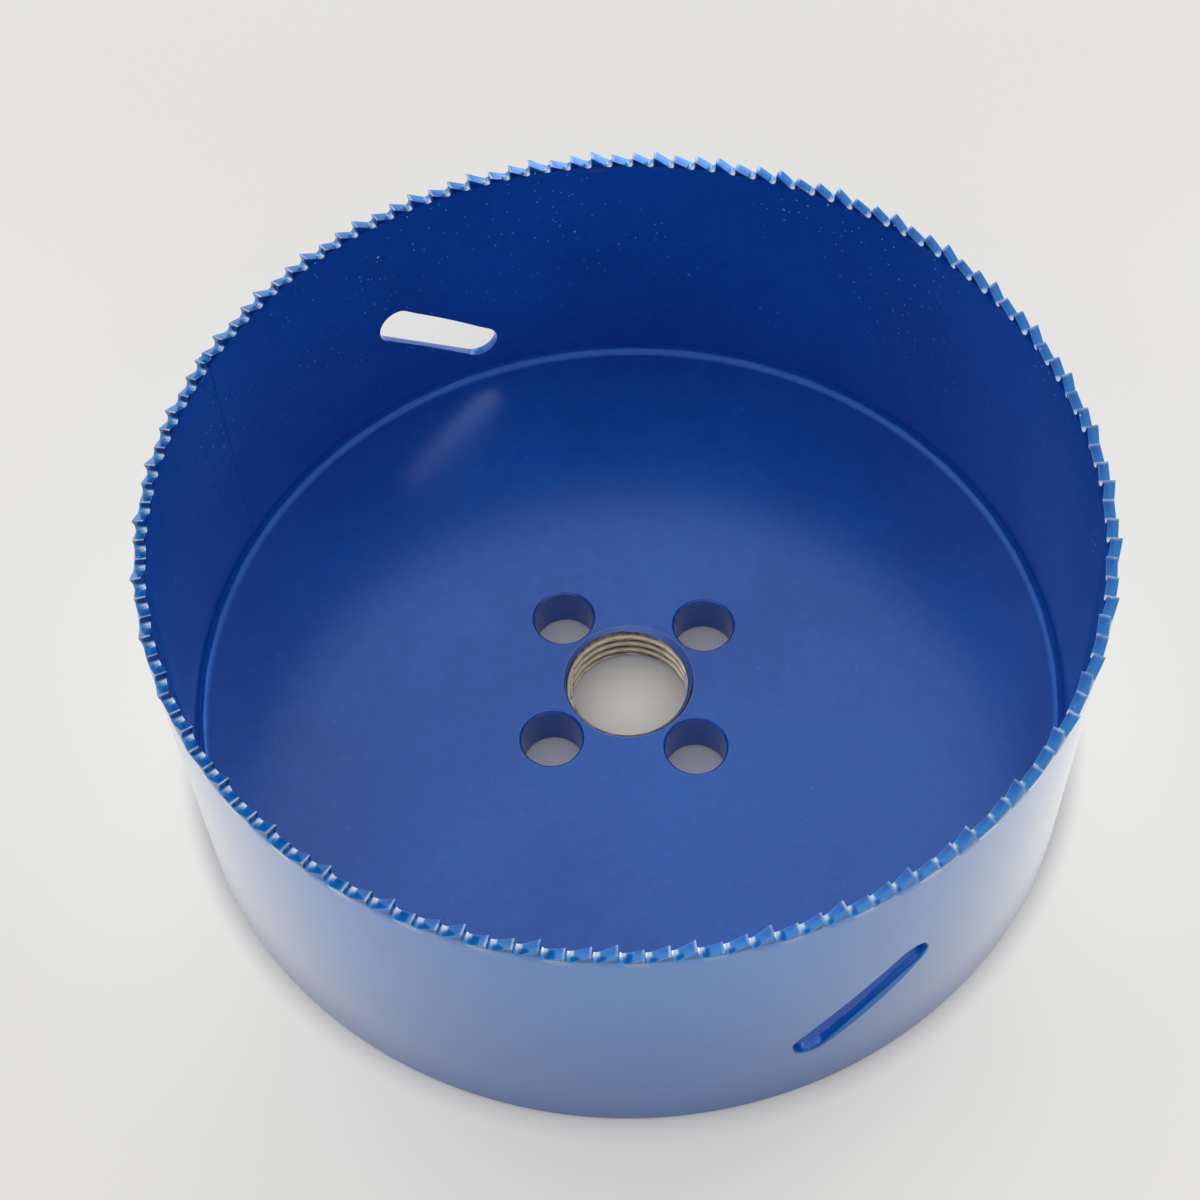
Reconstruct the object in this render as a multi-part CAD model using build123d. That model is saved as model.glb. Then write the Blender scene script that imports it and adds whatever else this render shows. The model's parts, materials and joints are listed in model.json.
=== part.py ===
from build123d import *
from math import ceil, degrees, pi, radians, tan
import os

# Hole saw: a strip with teeth along one edge, rolled into a ring and welded end to end,
# closed at the back by a thick plate with a tapped centre hole and four drive-pin holes.
# Lengths are in millimetres and angles in degrees. The back face lies on Z = 0, the
# teeth point up and the axis is Z. Azimuths are measured from +X towards +Y.

# Ring
cutting_diameter = 108.0        # over the teeth that are set outward
body_height = 42.4              # back face to tooth tips
wall = 1.25                     # thickness of the rolled strip
back_edge_break = 0.45          # outer edge of the ring at the back

# Teeth
tooth_pitch = 2.554             # measured along the middle of the wall
tooth_set = 0.32                # how far a tip leans out of the wall, either way
back_angle = 32.0               # slope of a tooth's back
rake_angle = 5.0                # undercut of a tooth's cutting face
gullet_floor = 0.6              # flat between a tooth's back and the next cutting face
least_seam_step = 0.4           # shortest step allowed at the weld, as a share of the pitch
seam_azimuth = 154.23           # where the ends of the strip are welded together

# Slots through the wall
slot_count = 2
slot_length = 19.4              # over its round ends
slot_width = 4.8
slot_tilt = 40.0                # rise of the slot from the level
slot_height = 17.5              # middle of the slot above the back face
slot_azimuth = -63.6            # middle of the first slot

# Back plate
plate_thickness = 6.3
plate_clearance = 0.05          # gap to the ring, which the welds bridge
bore_diameter = 14.4            # crests of the 5/8"-18 thread
bore_chamfer = 0.8
pin_hole_diameter = 7.4
pin_circle_diameter = 24.6
pin_hole_count = 4
pin_hole_azimuth = 39.5         # first pin hole
pin_edge_break = 0.25

# Welds between the ring and the plate
fillet_leg = 1.3                # weld in the corner inside the ring
groove_depth = 1.1              # bevel of the plate at the back, filled with weld
groove_recess = 0.12            # the weld stays this far below the back face

# Sizes that follow
outer_radius = cutting_diameter / 2 - tooth_set
inner_radius = outer_radius - wall
middle_radius = outer_radius - wall / 2
plate_radius = inner_radius - plate_clearance
over_cut = 1.0                  # cutters run past what they cut by this much
tooth_root = 0.4                # depth by which each tooth is joined into the ring below it

# The strip is cut to length without regard to its teeth, so the step across the weld is
# what is left after the full ones.
strip_pitches = 2 * pi * middle_radius / tooth_pitch
tooth_count = ceil(strip_pitches - least_seam_step)
seam_step = tooth_pitch * (strip_pitches - tooth_count + 1)


def arc_degrees(length):
    """The angle that a length along the middle of the wall covers."""
    return degrees(length / middle_radius)


def gullet_depth(step):
    """Depth of the gullet floor below two tips that are a step apart."""
    slope = tan(radians(back_angle))
    return (step - gullet_floor) * slope / (1 - slope * tan(radians(rake_angle)))


def floor_middle(step):
    """Distance of the middle of the gullet floor from the tip whose back slopes down to it."""
    undercut = gullet_depth(step) * tan(radians(rake_angle))
    return step + undercut - gullet_floor / 2


ring_height = body_height - gullet_depth(tooth_pitch)


def gullet_cutter(step):
    """Space between two tips, a step apart, with the middle of the step at azimuth 0."""
    depth = gullet_depth(step)
    face_slant = tan(radians(rake_angle))
    back_slant = 1 / tan(radians(back_angle))
    profile = make_face(Plane.YZ * Polyline(
        (over_cut * face_slant - step / 2, body_height + over_cut),
        (-depth * face_slant - step / 2, body_height - depth),
        (-depth * back_slant + step / 2, body_height - depth),
        (over_cut * back_slant + step / 2, body_height + over_cut), close=True))
    start = inner_radius - tooth_set - over_cut
    reach = wall + 2 * tooth_set + 2 * over_cut
    return Pos(start, 0, 0) * extrude(profile, reach, dir=(1, 0, 0))


def tooth(lean, step_before, step_after):
    """One tooth with its tip at azimuth 0; above the ring it leans, outward by lean at the tip."""
    top = body_height + over_cut / 2
    top_shift = lean * (top - ring_height) / (body_height - ring_height)
    section = make_face(Polyline(
        (inner_radius, 0, ring_height - tooth_root), (outer_radius, 0, ring_height - tooth_root),
        (outer_radius, 0, ring_height), (outer_radius + top_shift, 0, top),
        (inner_radius + top_shift, 0, top), (inner_radius, 0, ring_height), close=True))
    ahead = arc_degrees(step_before - floor_middle(step_before))
    behind = arc_degrees(floor_middle(step_after))
    block = Rot(0, 0, -behind) * revolve(section, Axis.Z, ahead + behind)
    before = Rot(0, 0, arc_degrees(step_before / 2)) * gullet_cutter(step_before)
    after = Rot(0, 0, -arc_degrees(step_after / 2)) * gullet_cutter(step_after)
    return block - before - after


def tooth_azimuth(number):
    """Teeth are counted clockwise from the weld."""
    return seam_azimuth - arc_degrees(seam_step / 2 + number * tooth_pitch)


def toothed_ring():
    """The rolled strip: a plain ring up to the gullet floors, with its teeth on top."""
    low = (Align.CENTER, Align.CENTER, Align.MIN)
    ring = Cylinder(outer_radius, ring_height, align=low)
    ring = chamfer(ring.edges().group_by(Axis.Z)[0], back_edge_break)
    ring -= Cylinder(inner_radius, ring_height, align=low)
    leans = (0, tooth_set, -tooth_set)
    kinds = [tooth(lean, tooth_pitch, tooth_pitch) for lean in leans]
    teeth = [tooth(leans[0], seam_step, tooth_pitch)]
    teeth += [kinds[number % 3] for number in range(1, tooth_count - 1)]
    teeth += [tooth(leans[(tooth_count - 1) % 3], tooth_pitch, seam_step)]
    placed = [Rot(0, 0, tooth_azimuth(number)) * one for number, one in enumerate(teeth)]
    return ring.fuse(*[solid for one in placed for solid in one.solids()])


def slot_cutter(azimuth):
    """A slanted slot with round ends, punched through the wall at one azimuth."""
    outline = Plane.YZ * Rot(0, 0, slot_tilt) * SlotOverall(slot_length, slot_width)
    punch = extrude(outline, wall + 2 * over_cut + slot_length / 4, dir=(1, 0, 0))
    start = inner_radius - over_cut - slot_length / 4
    return Rot(0, 0, azimuth) * Pos(start, 0, slot_height) * punch


def saw_shell():
    shell = toothed_ring()
    for index in range(slot_count):
        shell -= slot_cutter(slot_azimuth + index * 360 / slot_count)
    return shell


def back_plate():
    low = (Align.CENTER, Align.CENTER, Align.MIN)
    plate = Cylinder(plate_radius, plate_thickness, align=low)
    plate = chamfer(plate.edges().group_by(Axis.Z)[0], groove_depth)
    bore = Cylinder(bore_diameter / 2, plate_thickness, align=low)
    plate -= bore
    rims = plate.edges().filter_by(GeomType.CIRCLE).filter_by(
        lambda edge: abs(edge.radius - bore_diameter / 2) < 1e-6)
    plate = chamfer(rims, bore_chamfer)
    holes = PolarLocations(pin_circle_diameter / 2, pin_hole_count, pin_hole_azimuth)
    plate -= holes * Cylinder(pin_hole_diameter / 2, plate_thickness, align=low)
    rims = plate.edges().filter_by(GeomType.CIRCLE).filter_by(
        lambda edge: abs(edge.radius - pin_hole_diameter / 2) < 1e-6)
    return chamfer(rims, pin_edge_break)


def inner_weld():
    """Flat-faced fillet weld in the corner between the plate and the ring."""
    section = make_face(Polyline(
        (inner_radius - fillet_leg, 0, plate_thickness), (inner_radius, 0, plate_thickness),
        (inner_radius, 0, plate_thickness + fillet_leg), close=True))
    return revolve(section, Axis.Z)


def back_weld():
    """Weld that fills the groove between the plate's bevel and the ring."""
    bevel_foot = plate_radius - groove_depth + groove_recess
    section = make_face(Polyline(
        (inner_radius, 0, groove_recess), (inner_radius, 0, groove_depth),
        (plate_radius, 0, groove_depth), (bevel_foot, 0, groove_recess), close=True))
    return revolve(section, Axis.Z)


os.makedirs("parts", exist_ok=True)
export_step(saw_shell(), "parts/saw_shell.step")
export_step(back_plate(), "parts/back_plate.step")
export_step(inner_weld(), "parts/inner_weld.step")
export_step(back_weld(), "parts/back_weld.step")
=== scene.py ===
from collections import namedtuple
import json
import math
import random

import bmesh
import bpy
from mathutils import Matrix, Vector


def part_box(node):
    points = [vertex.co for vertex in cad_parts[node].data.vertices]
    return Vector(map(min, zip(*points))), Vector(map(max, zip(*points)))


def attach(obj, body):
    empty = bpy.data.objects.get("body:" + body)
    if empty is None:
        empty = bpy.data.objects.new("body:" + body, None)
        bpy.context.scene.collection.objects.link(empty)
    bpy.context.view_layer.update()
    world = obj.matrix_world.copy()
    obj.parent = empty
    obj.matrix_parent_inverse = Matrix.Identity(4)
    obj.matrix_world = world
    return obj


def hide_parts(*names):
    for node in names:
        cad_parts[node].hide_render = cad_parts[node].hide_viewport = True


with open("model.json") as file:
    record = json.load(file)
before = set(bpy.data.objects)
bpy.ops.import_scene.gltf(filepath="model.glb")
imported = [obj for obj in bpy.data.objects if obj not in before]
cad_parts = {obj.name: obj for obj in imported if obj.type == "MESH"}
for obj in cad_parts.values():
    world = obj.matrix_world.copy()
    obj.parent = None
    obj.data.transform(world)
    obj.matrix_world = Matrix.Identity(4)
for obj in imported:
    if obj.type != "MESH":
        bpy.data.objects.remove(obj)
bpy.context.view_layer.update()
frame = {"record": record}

# Looks of a hole saw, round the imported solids. Lengths are in metres and azimuths in
# radians from +X towards +Y. The saw stands on its back face with the teeth up.

random.seed(7)
MM = 0.001

# Sizes of the solids, from the frame where it holds them
mounts = {mount["name"]: mount for mount in frame["record"]["mounts"]}
plate_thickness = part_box("back_plate")[1].z
plate_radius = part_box("back_plate")[1].x
bore_radius = mounts["arbor_thread"]["dims"]["r_mm"] * MM
pin_radius = mounts["drive_pin_holes"]["dims"]["hole_r_mm"] * MM
pin_circle_radius = mounts["drive_pin_holes"]["dims"]["pcd_mm"] * MM / 2
pin_count = mounts["drive_pin_holes"]["dims"]["count"]
pin_azimuth = math.radians(39.5)
cutting_radius = 54.0 * MM
tip_height = 42.4 * MM
wall = 1.25 * MM
tooth_set = 0.32 * MM
outer_radius = cutting_radius - tooth_set
inner_radius = outer_radius - wall
middle_radius = outer_radius - wall / 2

# Teeth
tooth_pitch = 2.554 * MM
back_angle = math.radians(32)
rake_angle = math.radians(5)
gullet_radius = 0.435 * MM
tip_rounding = 0.07 * MM
tooth_edge = 0.05 * MM          # rounding of the tooth's long edges
tip_wear = 0.015 * MM           # the most by which a tooth is short
set_spread = (0.85, 1.1)        # least and greatest lean, as shares of the set
bend_below = 0.15 * MM          # teeth start to lean this far below the gullets
bend_slant = 0.35               # the bend's points move sideways by this share of their height
bend_band = 1 * MM              # height of the row of faces below the bend
least_seam_step = 0.4           # as a share of the pitch
seam_azimuth = math.radians(154.23)

# Steps of the curves and slopes of the teeth
tip_steps = 4
gullet_steps = 10
back_steps = 5
face_steps = 4

# Slots
slot_count = 2
slot_length = 19.4 * MM
slot_width = 4.8 * MM
slot_tilt = math.radians(40)
slot_height = 17.5 * MM
slot_azimuth = math.radians(-63.6)
slot_edge = 0.14 * MM           # break of the slot's edges
slot_end_steps = 16

# Back edge, plate and thread
back_rounding = 0.45 * MM
back_rounding_steps = 4
plate_edge = 0.3 * MM           # break of the plate's upper edge
plate_segments = 144
bore_rows = 91
bore_chamfer = 0.8 * MM
thread_pitch = 25.4 * MM / 18
thread_depth = 0.72 * MM
crest_half = 0.125              # as shares of the pitch
flank_width = 0.30
root_power = 0.9                # below 1, the root is fuller than a sine
paint_margin = 0.03 * MM        # faces of the bore this near to the chamfer are enamelled
pin_edge = 0.25 * MM
pin_segments = 64

# Welds
fillet_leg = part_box("inner_weld")[1].z - plate_thickness
fillet_margin = 0.1 * MM        # the hollow bead reaches this much less far than the solid
fillet_steps = 12
groove_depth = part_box("back_weld")[1].z
groove_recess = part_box("back_weld")[0].z
groove_crown = 0.08 * MM
groove_steps = 6
weld_segments = 720
ripple_thickness = 0.2 * MM     # the bead ripples in full where it is at least this thick

# Camera and light
camera_place = Vector((0.0, -0.1473, 0.2454))
camera_forward = Vector((-0.01141577, 0.55438736, -0.83218047))
camera_up = Vector((0.03119561, 0.83202705, 0.55385722))
focal_length = 68.79            # in millimetres, like the sensor's width
sensor_width = 36
sky_colour = (1.0, 0.98, 0.95, 1)
sky_strength = 0.82
window_colour = (0.94, 0.98, 1.0)
windows = (                     # name, direction towards it, strength, width in degrees
    ("right_window", (0.58, 0.66, 0.36), 0.55, 34),
    ("back_window", (0.05, 0.90, 0.36), 0.40, 34),
    ("left_window", (-0.75, 0.30, 0.60), 0.30, 60))
floor_half = 2.0
floor_gap = 0.02 * MM           # the floor lies this far below the saw


# ---------------------------------------------------------------- mesh helpers

def on_ring(radius, azimuth, height):
    return Vector((radius * math.cos(azimuth), radius * math.sin(azimuth), height))


def mesh_object(name, points, faces, material):
    mesh = bpy.data.meshes.new(name)
    mesh.from_pydata([tuple(point) for point in points], [], faces)
    mesh.materials.append(material)
    made = bpy.data.objects.new(name, mesh)
    bpy.context.scene.collection.objects.link(made)
    return made


def ring_faces(rows, columns, closed_rows=False):
    """Quads between rows of points; every row closes on itself."""
    faces = []
    last = rows if closed_rows else rows - 1
    for row in range(last):
        above = (row + 1) % rows
        for column in range(columns):
            beside = (column + 1) % columns
            faces.append((row * columns + column, row * columns + beside,
                          above * columns + beside, above * columns + column))
    return faces


def capped_faces(rows, columns):
    """Quads between rows of points, closed by a flat face at either end."""
    first_cap = tuple(range(columns))
    last_cap = tuple(range((rows - 1) * columns, rows * columns))
    return ring_faces(rows, columns) + [first_cap, last_cap]


def lathe(name, section, segments, material, wobble):
    """A closed section of (radius, height) pairs turned round the axis, shifted by wobble."""
    points = []
    for radius, height in section:
        for index in range(segments):
            azimuth = 2 * math.pi * index / segments
            outward_shift, upward_shift = wobble(azimuth, radius, height)
            points.append(on_ring(radius + outward_shift, azimuth, height + upward_shift))
    return mesh_object(name, points, ring_faces(len(section), segments, True), material)


def rounded(before, corner, after, radius, steps):
    """Points of an arc that rounds the corner of a path in a plane."""
    toward = (before - corner).normalized()
    away = (after - corner).normalized()
    half = toward.angle(away) / 2
    centre = corner + (toward + away).normalized() * radius / math.sin(half)
    first = corner + toward * radius / math.tan(half) - centre
    last = corner + away * radius / math.tan(half) - centre
    turn = first.angle_signed(last)
    return [centre + Matrix.Rotation(-turn * index / steps, 2) @ first
            for index in range(steps + 1)]


def apply_modifiers(piece):
    bpy.context.view_layer.update()
    evaluated = piece.evaluated_get(bpy.context.evaluated_depsgraph_get())
    baked = bpy.data.meshes.new_from_object(evaluated)
    piece.modifiers.clear()
    piece.data = baked


def cut(piece, cutters):
    """Takes the cutters out of the piece and deletes them; they share its first material."""
    for cutter in cutters:
        difference = piece.modifiers.new("cut", "BOOLEAN")
        difference.operation = "DIFFERENCE"
        difference.solver = "MANIFOLD"
        difference.object = cutter
    apply_modifiers(piece)
    for cutter in cutters:
        bpy.data.objects.remove(cutter)


def smooth(piece, sharp_degrees):
    """Smooth shading that keeps flat faces flat beside small roundings."""
    piece.data.shade_smooth()
    piece.data.set_sharp_from_angle(angle=math.radians(sharp_degrees))
    weighted = piece.modifiers.new("weighted", "WEIGHTED_NORMAL")
    weighted.keep_sharp = True
    apply_modifiers(piece)


def round_wall(piece):
    """Gives the faces on the two cylinders of the ring their true, radial normals."""
    least_agreement = 0.9999
    teeth_from = tip_height - 2 * MM
    mesh = piece.data
    normals = [corner.vector.copy() for corner in mesh.corner_normals]
    for polygon in mesh.polygons:
        radial = Vector((polygon.center.x, polygon.center.y, 0)).normalized()
        side = polygon.normal.dot(radial)
        top = max(mesh.vertices[index].co.z for index in polygon.vertices)
        if abs(side) < least_agreement or top > teeth_from:
            continue
        for corner, vertex in zip(polygon.loop_indices, polygon.vertices):
            place = mesh.vertices[vertex].co
            normals[corner] = Vector((place.x, place.y, 0)).normalized() * math.copysign(1, side)
    mesh.normals_split_custom_set(normals)


def outward(piece):
    """Turns every face outward."""
    shape = bmesh.new()
    shape.from_mesh(piece.data)
    bmesh.ops.recalc_face_normals(shape, faces=shape.faces)
    shape.to_mesh(piece.data)
    shape.free()


# ---------------------------------------------------------------- material helpers

Places = namedtuple("Places", "place azimuth across height")


def new_material(name):
    material = bpy.data.materials.new(name)
    material.use_nodes = True
    return material, material.node_tree, material.node_tree.nodes["Principled BSDF"]


def feed(tree, inputs, values):
    """Links each named input to a socket, or sets it to a number or colour."""
    for key, value in values.items():
        if isinstance(value, bpy.types.NodeSocket):
            tree.links.new(value, inputs[key])
        else:
            inputs[key].default_value = value


def add_node(tree, kind, values=None, **settings):
    made = tree.nodes.new(kind)
    for key, value in settings.items():
        setattr(made, key, value)
    feed(tree, made.inputs, values or {})
    return made


def calc(tree, operation, first, second=0.0):
    return add_node(tree, "ShaderNodeMath", {0: first, 1: second}, operation=operation).outputs[0]


def chain(tree, operation, first, *others):
    for other in others:
        first = calc(tree, operation, first, other)
    return first


def times(tree, *factors):
    return chain(tree, "MULTIPLY", *factors)


def plus(tree, *terms):
    return chain(tree, "ADD", *terms)


def greatest(tree, *values):
    return chain(tree, "MAXIMUM", *values)


def remainder(tree, share):
    return calc(tree, "SUBTRACT", 1.0, share)


def noise(tree, place, scale, detail=2.0, roughness=0.5):
    values = {"Vector": place, "Scale": scale, "Detail": detail, "Roughness": roughness}
    return add_node(tree, "ShaderNodeTexNoise", values).outputs["Fac"]


def spread(tree, value, low, high, to_low=0.0, to_high=1.0):
    """Maps low..high of a value to to_low..to_high, smoothly and clamped."""
    values = {"Value": value, "From Min": low, "From Max": high, "To Min": to_low, "To Max": to_high}
    made = add_node(tree, "ShaderNodeMapRange", values, interpolation_type="SMOOTHSTEP")
    return made.outputs["Result"]


def blend_colour(tree, share, first, second):
    factor, first_colour, second_colour = 0, 6, 7       # inputs of the node in its colour form
    made = add_node(tree, "ShaderNodeMix", data_type="RGBA")
    feed(tree, made.inputs, {factor: share, first_colour: first, second_colour: second})
    return made.outputs[2]


def bumped(tree, height, distance, strength):
    """A normal disturbed by a height, which counts in units of the distance."""
    values = {"Height": height, "Distance": distance, "Strength": strength}
    return add_node(tree, "ShaderNodeBump", values).outputs[0]


def cylinder_places(tree):
    """Object place, azimuth, distance from the axis and height, each as a socket."""
    place = add_node(tree, "ShaderNodeTexCoord").outputs["Object"]
    parts = add_node(tree, "ShaderNodeSeparateXYZ", {0: place}).outputs
    azimuth = calc(tree, "ARCTAN2", parts["Y"], parts["X"])
    squares = plus(tree, times(tree, parts["X"], parts["X"]), times(tree, parts["Y"], parts["Y"]))
    return Places(place, azimuth, calc(tree, "SQRT", squares), parts["Z"])


def surface_normal(tree):
    return add_node(tree, "ShaderNodeNewGeometry").outputs["Normal"]


def edge_mask(tree, radius, low, high):
    """1 on edges sharper than the surface round them, 0 on open faces."""
    softened = add_node(tree, "ShaderNodeBevel", {"Radius": radius}, samples=4).outputs[0]
    agree = add_node(tree, "ShaderNodeVectorMath", {0: softened, 1: surface_normal(tree)},
                     operation="DOT_PRODUCT").outputs["Value"]
    return spread(tree, agree, high, low)


def specks(tree, place, scale, size, share):
    """Small round dots: one in some of the cells of a random lattice."""
    cells = add_node(tree, "ShaderNodeTexVoronoi", {"Vector": place, "Scale": scale})
    chance = add_node(tree, "ShaderNodeSeparateColor", {0: cells.outputs["Color"]}).outputs[0]
    chosen = calc(tree, "GREATER_THAN", chance, 1 - share)
    return times(tree, chosen, spread(tree, cells.outputs["Distance"], size, size * 0.6))


def below_tips(tree, height, depths, to_first=0.0, to_second=1.0):
    """Changes from to_first to to_second between two depths below the tooth tips."""
    first, second = depths
    return spread(tree, height, tip_height - first, tip_height - second, to_first, to_second)


# ---------------------------------------------------------------- materials

INSIDE_DEEP = (0.0004, 0.072, 0.40, 1)
INSIDE_LIT = (0.0006, 0.108, 0.52, 1)
# Colours of the outer wall: painted shade low down, painted light near the teeth
OUTSIDE_SHADED = (0.001, 0.085, 0.34, 1)
OUTSIDE_LIT = (0.001, 0.170, 0.56, 1)
# Painted light on the upward-facing backs of the teeth
TOOTH_BACK_LIGHT = (0.008, 0.24, 0.68, 1)
# Pale: enamel worn on edges, and painted glints and highlights
PALE_WEAR_AND_GLINT = (0.62, 0.74, 0.88, 1)
DUST = (0.30, 0.62, 0.95, 1)
# Dark for painted shade on the teeth's upright sides and faces, and for the weld seam line
SHADE_AND_SEAM_DARK = (0.006, 0.010, 0.030, 1)
STEEL_DULL = (0.42, 0.36, 0.28, 1)
STEEL_BRIGHT = (0.66, 0.59, 0.48, 1)
# Painted shade for the thread's roots
THREAD_ROOT_SHADE = (0.03, 0.024, 0.02, 1)
PAPER_DULL = (0.84, 0.825, 0.80, 1)
PAPER_PALE = (0.86, 0.85, 0.83, 1)
# Painted shade at the back of the sheet
PAPER_BACK_SHADE = (0.76, 0.752, 0.735, 1)
PAPER_GLOW = (0.90, 0.895, 0.865, 1)

# Depths below the tips between which the looks of the teeth change, from none to full
back_depths = (1.8 * MM, 1.5 * MM)
foot_depths = (0.3 * MM, 1.15 * MM)
flank_depths = (1.35 * MM, 1.0 * MM)
# Where the painted glints sit on the gullets and on the tips
gullet_glint_depths = (1.08 * MM, 1.24 * MM)
tip_glint_depths = (0.25 * MM, 0.05 * MM)


def coat_depth(tree, place):
    """Uneven depth of the enamel: broad clouds with a fine mottle."""
    clouds = noise(tree, place, scale=38, detail=3, roughness=0.55)
    mottle = noise(tree, place, scale=750)
    return spread(tree, plus(tree, times(tree, clouds, 0.7), times(tree, mottle, 0.3)), 0.3, 0.7)


def tooth_masks(tree, height):
    """The sloping backs of the teeth with their gullets, and their upright sides and faces."""
    rise = add_node(tree, "ShaderNodeSeparateXYZ", {0: surface_normal(tree)}).outputs["Z"]
    backs = times(tree, below_tips(tree, height, back_depths), spread(tree, rise, 0.2, 0.6))
    flanks = times(tree, below_tips(tree, height, flank_depths), spread(tree, rise, 0.35, 0.15))
    return backs, flanks


def worn_and_glint_mask(tree, at, backs, edge_wear_and_highlight):
    """Pale marks: enamel worn on sharp edges, which also carry painted highlights there, and painted
    glints on the inner side of gullets, on the tips and on the bore's lip.
    """
    patchy = spread(tree, noise(tree, at.place, scale=700, detail=3), 0.35, 0.65, 0.3, 1.0)
    # Edges: partly worn enamel, partly a painted highlight
    edges = times(tree, edge_mask(tree, 0.22 * MM, 0.78, 0.97), patchy, edge_wear_and_highlight)
    # Painted glints on the inner side of the gullets and on the tips, and a painted highlight on the
    # bore's lip
    inner_side = spread(tree, at.across, inner_radius + 0.75 * wall, inner_radius + 0.2 * wall,
                        0.05, 0.9)
    gullets = times(tree, below_tips(tree, at.height, gullet_glint_depths), inner_side, backs)
    tips = times(tree, below_tips(tree, at.height, tip_glint_depths, 0, 0.6), patchy)
    lip_radius = bore_radius + bore_chamfer
    lip = spread(tree, at.across, lip_radius + 0.1 * MM, lip_radius, 0, 0.16)
    return greatest(tree, edges, gullets, tips, lip)


def seam_mask(tree, at):
    """Thin, slightly crooked line down the weld of the strip."""
    off = calc(tree, "ABSOLUTE", calc(tree, "SUBTRACT", at.azimuth, seam_azimuth))
    wander = times(tree, noise(tree, at.place, scale=260, detail=3), 0.22 * MM)
    from_seam = plus(tree, times(tree, off, middle_radius), wander)
    on_strip = calc(tree, "GREATER_THAN", at.across, inner_radius - 0.1 * MM)
    return times(tree, spread(tree, from_seam, 0.28 * MM, 0.08 * MM, 0, 0.6), on_strip)


def dust_mask(tree, at, dust_heights):
    """Pale specks in loose patches, more of them between two heights and above."""
    fine = specks(tree, at.place, scale=1100, size=0.15, share=0.6)
    large = specks(tree, at.place, scale=420, size=0.10, share=0.3)
    patches = spread(tree, noise(tree, at.place, scale=55), 0.36, 0.56, 0.0, 0.9)
    return times(tree, greatest(tree, fine, large), patches,
                 spread(tree, at.height, *dust_heights))


def haze_mask(tree, height, flanks):
    """Pale haze that grows as the wall turns from the eye, weaker at its foot."""
    facing = add_node(tree, "ShaderNodeLayerWeight", {"Blend": 0.5}).outputs["Facing"]
    return times(tree, spread(tree, facing, 0.46, 0.82), remainder(tree, flanks),
                 spread(tree, height, -2 * MM, 10 * MM, 0.6, 1.0))


def enamel(name, dust_heights, edge_wear_and_highlight, coat_roughness, coat_ior):
    """Blue enamel over steel: clear gloss, uneven depth of colour, painted light and shade on the
    outer wall and the teeth, pale worn edges with painted glints, and dust.
    """
    material, tree, shader = new_material(name)
    at = cylinder_places(tree)
    depth = coat_depth(tree, at.place)
    outside = spread(tree, at.across, inner_radius + 0.3 * wall, outer_radius - 0.3 * wall)
    # Painted light on the outer wall: lighter from its foot up to the teeth, with a little of the
    # enamel's uneven depth
    climb = spread(tree, at.height, -4 * MM, tip_height)
    lit = plus(tree, times(tree, climb, 0.8), times(tree, depth, 0.2))
    backs, flanks = tooth_masks(tree, at.height)
    # Painted light: the upward-facing backs of the teeth turn a brighter blue, more towards the
    # gullets
    back_light_share = times(tree, backs, below_tips(tree, at.height, foot_depths, 0.10, 0.60))
    seam = seam_mask(tree, at)
    dust = times(tree, dust_mask(tree, at, dust_heights), remainder(tree, outside))

    colour = blend_colour(tree, outside, blend_colour(tree, depth, INSIDE_DEEP, INSIDE_LIT),
                          blend_colour(tree, lit, OUTSIDE_SHADED, OUTSIDE_LIT))
    # Painted light on the teeth's backs, painted shade on their upright sides and faces, pale wear
    # with painted glints, then the dark seam line and dust
    layers = (
        (back_light_share, TOOTH_BACK_LIGHT), (times(tree, flanks, 0.6), SHADE_AND_SEAM_DARK),
        (worn_and_glint_mask(tree, at, backs, edge_wear_and_highlight), PALE_WEAR_AND_GLINT), (seam, SHADE_AND_SEAM_DARK), (dust, DUST))
    for share, paint in layers:
        colour = blend_colour(tree, share, colour, paint)

    shine = times(tree, climb, outside, 0.46, remainder(tree, times(tree, backs, 0.8)))
    shine = calc(tree, "SUBTRACT", shine, times(tree, flanks, 0.3))
    grain = times(tree, noise(tree, at.place, scale=1100), 0.002 * MM)
    waves = times(tree, noise(tree, at.place, scale=120), 0.008 * MM)
    relief = plus(tree, grain, waves, times(tree, dust, 0.03 * MM))
    relief = calc(tree, "SUBTRACT", relief, times(tree, seam, 0.04 * MM))
    normal = bumped(tree, relief, distance=1.0, strength=0.6)
    feed(tree, shader.inputs, {
        "Base Color": colour,
        "Metallic": 0.45,
        "Roughness": plus(tree, times(tree, dust, 0.4), 0.3),
        "Specular IOR Level": 0.0,
        "Coat Weight": 1.0,
        "Coat Roughness": coat_roughness,
        "Coat IOR": plus(tree, shine, coat_ior),
        "Sheen Weight": times(tree, haze_mask(tree, at.height, flanks), outside),
        "Sheen Roughness": 0.3,
        "Normal": normal,
        "Coat Normal": normal,
    })
    return material


def thread_steel():
    """Bare machined steel: brown-grey and brighter on the crests, with painted shade darkening the
    roots.
    """
    material, tree, shader = new_material("thread_steel")
    at = cylinder_places(tree)
    patch = noise(tree, at.place, scale=500, detail=4, roughness=0.6)
    # Painted shade in the roots of the thread, in patches
    deep = spread(tree, at.across, bore_radius + 0.15 * MM, bore_radius + 0.5 * MM)
    root_shade = times(tree, deep, spread(tree, patch, 0.2, 0.7, 0.4, 1.0))
    steel = blend_colour(tree, patch, STEEL_DULL, STEEL_BRIGHT)
    feed(tree, shader.inputs, {
        "Base Color": blend_colour(tree, root_shade, steel, THREAD_ROOT_SHADE),
        "Metallic": 1.0,
        "Roughness": spread(tree, patch, 0.3, 0.7, 0.28, 0.5),
        "Normal": bumped(tree, noise(tree, at.place, scale=3000), 0.01 * MM, strength=0.5),
    })
    return material


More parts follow.
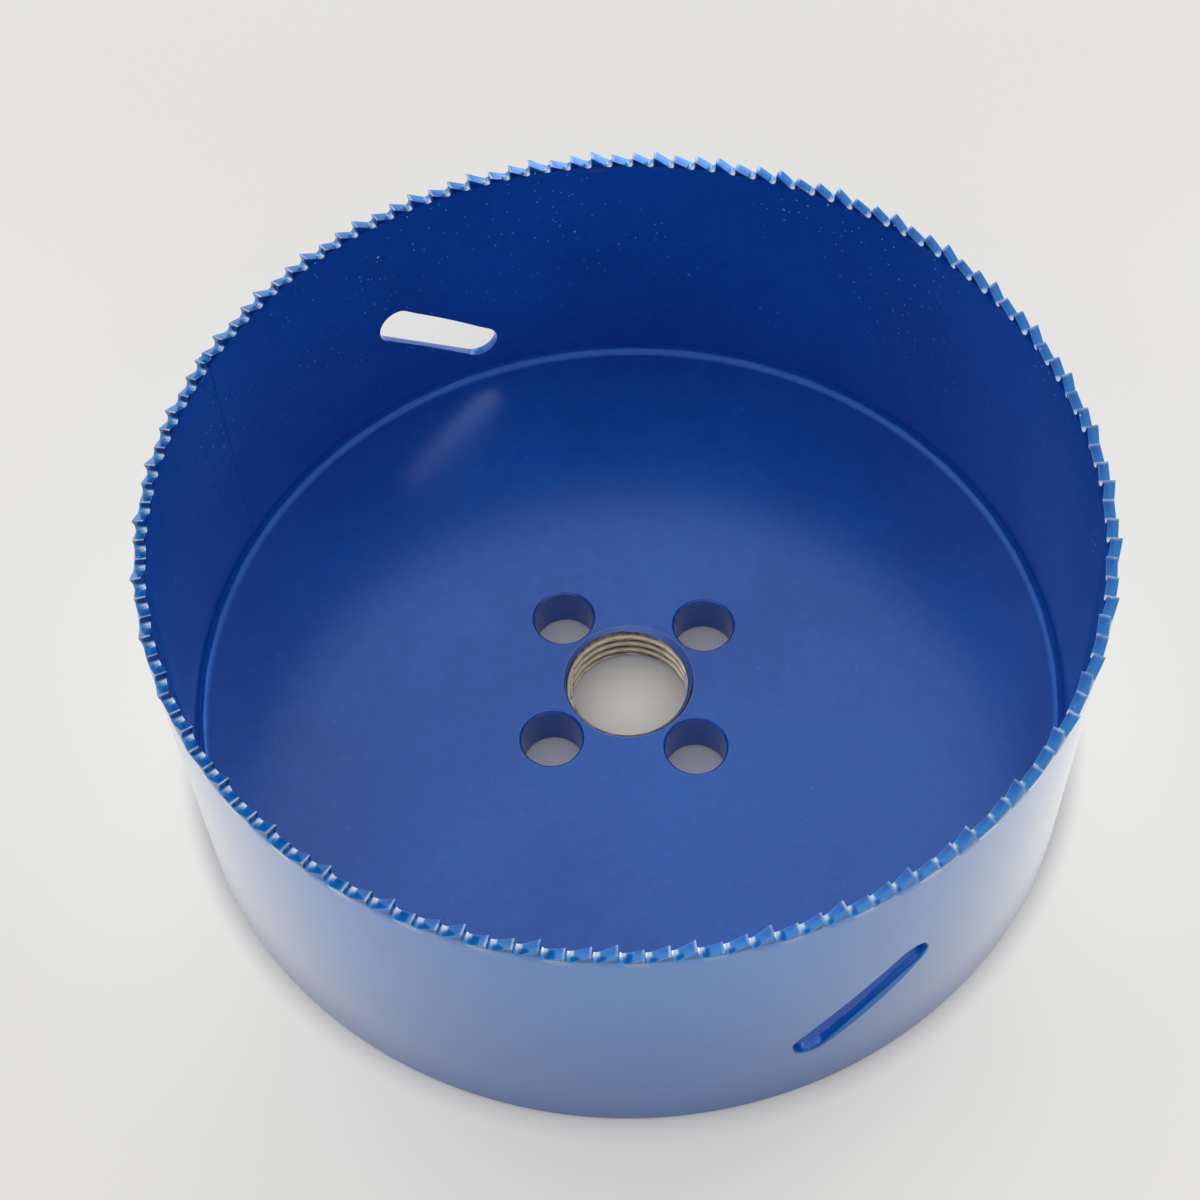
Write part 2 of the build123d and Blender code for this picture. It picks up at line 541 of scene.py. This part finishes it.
def paper_glow(tree, at):
    """How much the paper glows: only to the camera and in gloss, most at the saw's left and
    right, and not right beside the saw, where its shadow stays dark."""
    rays = add_node(tree, "ShaderNodeLightPath").outputs
    seen = greatest(tree, rays["Is Camera Ray"], rays["Is Glossy Ray"], rays["Is Transmission Ray"])
    beyond_contact = spread(tree, at.across, outer_radius - 0.5 * MM, outer_radius + 3 * MM)
    sideways = calc(tree, "POWER", calc(tree, "COSINE", at.azimuth), 2.0)
    near = spread(tree, at.across, 95 * MM, 55 * MM)
    return times(tree, seen, beyond_contact, plus(tree, times(tree, sideways, near, 0.55), 0.24))


def paper():
    """Off-white sheet that the saw stands on, with painted shade making it a little darker towards
    the back.
    """
    material, tree, shader = new_material("paper")
    at = cylinder_places(tree)
    cloud = noise(tree, at.place, scale=5, detail=3)
    backward = add_node(tree, "ShaderNodeSeparateXYZ", {0: at.place}).outputs["Y"]
    # Painted shade: the sheet darkens towards the back
    shade = spread(tree, backward, 20 * MM, 120 * MM)
    colour = blend_colour(tree, shade, blend_colour(tree, cloud, PAPER_DULL, PAPER_PALE), PAPER_BACK_SHADE)
    feed(tree, shader.inputs, {
        "Base Color": colour,
        "Roughness": 0.8,
        "Specular IOR Level": 0.2,
        "Normal": bumped(tree, noise(tree, at.place, scale=900, detail=3), 0.02 * MM, strength=0.4),
    })
    glow = add_node(tree, "ShaderNodeEmission", {"Color": PAPER_GLOW, "Strength": 1.0})
    surfaces = {0: paper_glow(tree, at), 1: shader.outputs[0], 2: glow.outputs[0]}
    mix = add_node(tree, "ShaderNodeMixShader", surfaces)
    tree.links.new(mix.outputs[0], tree.nodes["Material Output"].inputs["Surface"])
    material.cycles.emission_sampling = "NONE"
    return material


# ---------------------------------------------------------------- toothed ring

def tooth_spacing():
    """Distances between neighbouring tips, clockwise from the weld; the last spans the weld."""
    pitches = 2 * math.pi * middle_radius / tooth_pitch
    count = math.ceil(pitches - least_seam_step)
    return [tooth_pitch] * (count - 1) + [tooth_pitch * (pitches - count + 1)]


def between(first, second, steps):
    """The points that divide a straight stretch into equal steps."""
    return [first.lerp(second, index / steps) for index in range(1, steps)]


def tooth_profile(step):
    """Path from one tip to the next as (distance clockwise, height above the tips)."""
    run = step / (1 - math.tan(back_angle) * math.tan(rake_angle))
    corner = Vector((run, -run * math.tan(back_angle)))
    tip = Vector((0, 0))
    next_tip = Vector((step, 0))
    face_foot = Vector((math.tan(rake_angle), -1)) * tooth_pitch
    crown = rounded(face_foot, tip, corner, tip_rounding, tip_steps)
    gullet = rounded(tip, corner, next_tip, gullet_radius, gullet_steps)
    next_crown = rounded(next_tip + face_foot, next_tip, next_tip + corner, tip_rounding, tip_steps)
    back = between(crown[-1], gullet[0], back_steps)
    face = between(gullet[-1], next_crown[0], face_steps)
    return crown + back + gullet + face


def ring_columns():
    """Every point of the toothed edge, with its tooth's lean and its place in the rows below."""
    steps = tooth_spacing()
    columns = []
    travelled = steps[-1] / 2
    leans = [(0, tooth_set, -tooth_set)[number % 3] * random.uniform(*set_spread)
             for number in range(len(steps))]
    for number, step in enumerate(steps):
        path = tooth_profile(step)
        lowest = min(range(len(path)), key=lambda index: path[index].y)
        wear = random.uniform(-tip_wear, 0.0)
        for index, point in enumerate(path):
            owner = number if index <= lowest else (number + 1) % len(steps)
            columns.append({
                "run": travelled + point.x,
                "even_run": travelled + step * index / len(path),
                "bend_run": travelled + point.x + bend_slant * (point.y - path[lowest].y),
                "height": tip_height + point.y + wear,
                "lean": leans[owner],
            })
        travelled += step
    return columns


def inward_normals(columns):
    """Unit directions, along the wall, from the toothed edge into the metal below it."""
    normals = []
    total = 2 * math.pi * middle_radius
    for index in range(len(columns)):
        ahead = columns[(index + 1) % len(columns)]
        behind = columns[index - 1]
        along = (ahead["run"] - behind["run"] + total / 2) % total - total / 2
        rise = ahead["height"] - behind["height"]
        normals.append(Vector((rise, -along)).normalized())
    return normals


def ring_rows(columns):
    """Rows of points round the ring's section: up the outside, over the teeth, down the inside."""
    normals = inward_normals(columns)
    bend_height = min(column["height"] for column in columns) - bend_below
    soft = tooth_edge * (1 - math.sqrt(0.5))
    rows = []

    def level_row(radius, height, run="even_run"):
        rows.append([on_ring(radius, seam_azimuth - column[run] / middle_radius, height)
                     for column in columns])

    def edge_row(radius, inset, down):
        row = []
        for column, normal in zip(columns, normals):
            run = column["run"] + normal.x * down
            height = column["height"] + normal.y * down
            lean = column["lean"] * (height - bend_height) / (tip_height - bend_height)
            row.append(on_ring(radius + inset + lean, seam_azimuth - run / middle_radius, height))
        rows.append(row)

    for step in range(back_rounding_steps + 1):
        angle = math.radians(90 * step / back_rounding_steps)
        level_row(outer_radius - back_rounding * (1 - math.sin(angle)),
                  back_rounding * (1 - math.cos(angle)))
    level_row(outer_radius, bend_height - bend_band)
    level_row(outer_radius, bend_height, "bend_run")
    edge_row(outer_radius, 0, tooth_edge)
    edge_row(outer_radius, -soft, soft)
    edge_row(outer_radius, -tooth_edge, 0)
    edge_row(inner_radius, tooth_edge, 0)
    edge_row(inner_radius, soft, soft)
    edge_row(inner_radius, 0, tooth_edge)
    level_row(inner_radius, bend_height, "bend_run")
    level_row(inner_radius, bend_height - bend_band)
    level_row(inner_radius, 0.0)
    return rows


def toothed_ring(material):
    rows = ring_rows(ring_columns())
    points = [point for row in rows for point in row]
    ring = mesh_object("toothed_ring", points, ring_faces(len(rows), len(rows[0]), True), material)
    outward(ring)
    cut(ring, [slot_cutter(slot_azimuth + index * 2 * math.pi / slot_count, material)
               for index in range(slot_count)])
    smooth(ring, sharp_degrees=50)
    round_wall(ring)
    return ring


def slot_outline(offset):
    """Points of a slot with round ends, along the wall, grown by offset."""
    radius = slot_width / 2 + offset
    half = (slot_length - slot_width) / 2
    points = []
    for end, start in ((half, -90), (-half, 90)):
        for index in range(slot_end_steps + 1):
            angle = math.radians(start + 180 * index / slot_end_steps)
            points.append(Vector((end + radius * math.cos(angle), radius * math.sin(angle))))
    turn = Matrix.Rotation(slot_tilt, 2)
    return [turn @ point for point in points]


def slot_cutter(azimuth, material):
    """Block that cuts one slot, flared where it leaves the wall so that the edges are soft."""
    flare = 0.3 * MM
    beyond = 2.5 * MM
    layers = (
        (inner_radius - beyond, slot_edge + flare), (inner_radius - flare, slot_edge + flare),
        (inner_radius, slot_edge), (inner_radius + slot_edge, 0),
        (outer_radius - slot_edge, 0), (outer_radius, slot_edge),
        (outer_radius + flare, slot_edge + flare), (outer_radius + beyond, slot_edge + flare))
    points = [on_ring(radius, azimuth + point.x / middle_radius, slot_height + point.y)
              for radius, offset in layers for point in slot_outline(offset)]
    faces = capped_faces(len(layers), len(slot_outline(0)))
    cutter = mesh_object("slot_cutter", points, faces, material)
    outward(cutter)
    return cutter


# ---------------------------------------------------------------- back plate and thread

def thread_radius(azimuth, height):
    """Wall of the tapped hole: flat crests at the bore, sloping flanks, rounded roots."""
    phase = (height / thread_pitch - azimuth / (2 * math.pi)) % 1.0
    from_crest = 0.5 - abs(phase - 0.5)
    depth = min(max((from_crest - crest_half) / flank_width, 0.0), 1.0)
    return bore_radius + thread_depth * math.sin(depth * math.pi / 2) ** root_power


def chamfer_radius(height):
    from_face = min(height, plate_thickness - height)
    return bore_radius + bore_chamfer - from_face


def back_plate(plate_material, thread_material):
    """The plate with its tapped hole, and the bare thread as a piece of its own."""
    azimuths = [2 * math.pi * index / plate_segments for index in range(plate_segments)]
    points = []
    for row in range(bore_rows):
        height = plate_thickness * row / (bore_rows - 1)
        for azimuth in azimuths:
            radius = max(thread_radius(azimuth, height), chamfer_radius(height))
            points.append(on_ring(radius, azimuth, height))
    rim = (
        (plate_radius - plate_edge, plate_thickness), (plate_radius, plate_thickness - plate_edge),
        (plate_radius, groove_depth), (plate_radius - groove_depth, 0.0))
    points += [on_ring(radius, azimuth, height) for radius, height in rim for azimuth in azimuths]
    faces = ring_faces(bore_rows + len(rim), plate_segments, True)
    plate = mesh_object("plate_body", points, faces, plate_material)
    plate.data.materials.append(thread_material)
    for polygon in plate.data.polygons:
        across = polygon.center.xy.length
        in_bore = across < bore_radius + bore_chamfer
        painted = across < chamfer_radius(polygon.center.z) + paint_margin
        polygon.material_index = 1 if in_bore and not painted else 0
    outward(plate)
    cut(plate, [pin_cutter(pin_azimuth + index * 2 * math.pi / pin_count, plate_material)
                for index in range(pin_count)])
    smooth(plate, sharp_degrees=35)
    return plate, split_off(plate, 1, "thread_flanks")


def pin_cutter(azimuth, material):
    """Pin that cuts one hole through the plate and breaks its edges."""
    beyond = 0.5 * MM
    layers = (
        (-beyond, pin_edge + beyond), (0, pin_edge), (pin_edge, 0),
        (plate_thickness - pin_edge, 0), (plate_thickness, pin_edge),
        (plate_thickness + beyond, pin_edge + beyond))
    middle = on_ring(pin_circle_radius, azimuth, 0)
    points = [middle + on_ring(pin_radius + offset, 2 * math.pi * index / pin_segments, height)
              for height, offset in layers for index in range(pin_segments)]
    cutter = mesh_object("pin_cutter", points, capped_faces(len(layers), pin_segments), material)
    outward(cutter)
    return cutter


def split_off(piece, material_index, name):
    """Moves the faces of one material into a piece of their own."""
    other = piece.copy()
    other.data = piece.data.copy()
    other.name = name
    bpy.context.scene.collection.objects.link(other)
    for target, keep in ((piece, False), (other, True)):
        shape = bmesh.new()
        shape.from_mesh(target.data)
        gone = [face for face in shape.faces if (face.material_index == material_index) != keep]
        bmesh.ops.delete(shape, geom=gone, context="FACES")
        shape.to_mesh(target.data)
        shape.free()
    material = other.data.materials[material_index]
    other.data.materials.clear()
    other.data.materials.append(material)
    for polygon in other.data.polygons:
        polygon.material_index = 0
    piece.data.materials.pop(index=material_index)
    return other


# ---------------------------------------------------------------- welds

def ripple(azimuth):
    """Height of the shallow scales along a weld bead."""
    fine = 0.018 * MM * math.sin(azimuth * 173)
    broad = 0.03 * MM * math.sin(azimuth * 41 + 1.3)
    return fine + broad


def corner_weld(material):
    """Hollow bead in the corner between plate and ring."""
    reach = fillet_leg - fillet_margin
    overlap = 0.01 * MM
    centre = Vector((inner_radius - reach, plate_thickness + reach))
    section = [(inner_radius + overlap, plate_thickness - overlap)]
    for index in range(fillet_steps + 1):
        angle = math.radians(-90 + 90 * index / fillet_steps)
        section.append((centre.x + reach * math.cos(angle), centre.y + reach * math.sin(angle)))

    def wobble(azimuth, radius, height):
        thickness = min(height - plate_thickness, inner_radius - radius)
        shift = min(max(thickness / ripple_thickness, 0.0), 1.0) * ripple(azimuth)
        return shift, shift

    weld = lathe("corner_weld", section, weld_segments, material, wobble)
    outward(weld)
    smooth(weld, sharp_degrees=60)
    return weld


def groove_weld(material):
    """Bead that fills the groove at the back."""
    low, high = groove_recess, groove_depth
    section = [(plate_radius, high), (plate_radius - high + low, low)]
    for index in range(1, groove_steps):
        share = index / groove_steps
        radius = plate_radius - (high - low) * (1 - share)
        section.append((radius, low - groove_crown * math.sin(math.pi * share)))
    section += [(inner_radius, low), (inner_radius, high)]

    def wobble(azimuth, radius, height):
        on_crown = height < low - 0.01 * MM
        return 0, 0.6 * ripple(azimuth) if on_crown else 0

    weld = lathe("groove_weld", section, weld_segments, material, wobble)
    outward(weld)
    smooth(weld, sharp_degrees=60)
    return weld


# ---------------------------------------------------------------- stage

def floor():
    corners = ((-1, -1), (1, -1), (1, 1), (-1, 1))
    points = [Vector((x * floor_half, y * floor_half, -floor_gap)) for x, y in corners]
    mesh_object("floor", points, [(0, 1, 2, 3)], paper())


def studio():
    """Even light from all round, with three broad windows at the back, right and left."""
    world = bpy.data.worlds.new("studio")
    bpy.context.scene.world = world
    world.use_nodes = True
    background = world.node_tree.nodes["Background"]
    background.inputs["Color"].default_value = sky_colour
    background.inputs["Strength"].default_value = sky_strength
    for name, direction, strength, width in windows:
        light = bpy.data.lights.new(name, "SUN")
        light.energy = strength
        light.angle = math.radians(width)
        light.color = window_colour
        holder = bpy.data.objects.new(name, light)
        holder.rotation_euler = Vector(direction).to_track_quat("Z", "Y").to_euler()
        bpy.context.scene.collection.objects.link(holder)
    bpy.context.scene.view_settings.view_transform = "Standard"


def camera():
    lens = bpy.data.cameras.new("camera")
    lens.lens = focal_length
    lens.sensor_width = sensor_width
    lens.clip_start = 0.01
    holder = bpy.data.objects.new("camera", lens)
    right = camera_forward.cross(camera_up).normalized()
    up = right.cross(camera_forward).normalized()
    turn = Matrix((right, up, -camera_forward)).transposed().to_4x4()
    holder.matrix_world = Matrix.Translation(camera_place) @ turn
    bpy.context.scene.collection.objects.link(holder)
    bpy.context.scene.camera = holder


# ---------------------------------------------------------------- assembly

ring_enamel = enamel("ring_enamel", dust_heights=(8 * MM, 36 * MM), edge_wear_and_highlight=0.35,
                     coat_roughness=0.12, coat_ior=1.46)
plate_enamel = enamel("plate_enamel", dust_heights=(-20 * MM, 120 * MM), edge_wear_and_highlight=0.5,
                      coat_roughness=0.24, coat_ior=1.6)
weld_enamel = enamel("weld_enamel", dust_heights=(30 * MM, 90 * MM), edge_wear_and_highlight=0.0,
                     coat_roughness=0.30, coat_ior=1.4)

ring = toothed_ring(ring_enamel)
plate, thread = back_plate(plate_enamel, thread_steel())
inside_bead = corner_weld(weld_enamel)
back_bead = groove_weld(weld_enamel)

for piece, node, slot in (
        (ring, "saw_shell", "ring_enamel"), (plate, "back_plate", "plate_enamel"),
        (thread, "back_plate", "bare_thread"), (inside_bead, "inner_weld", "weld_enamel"),
        (back_bead, "back_weld", "weld_enamel")):
    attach(piece, "root")
    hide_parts(node)

floor()
studio()
camera()
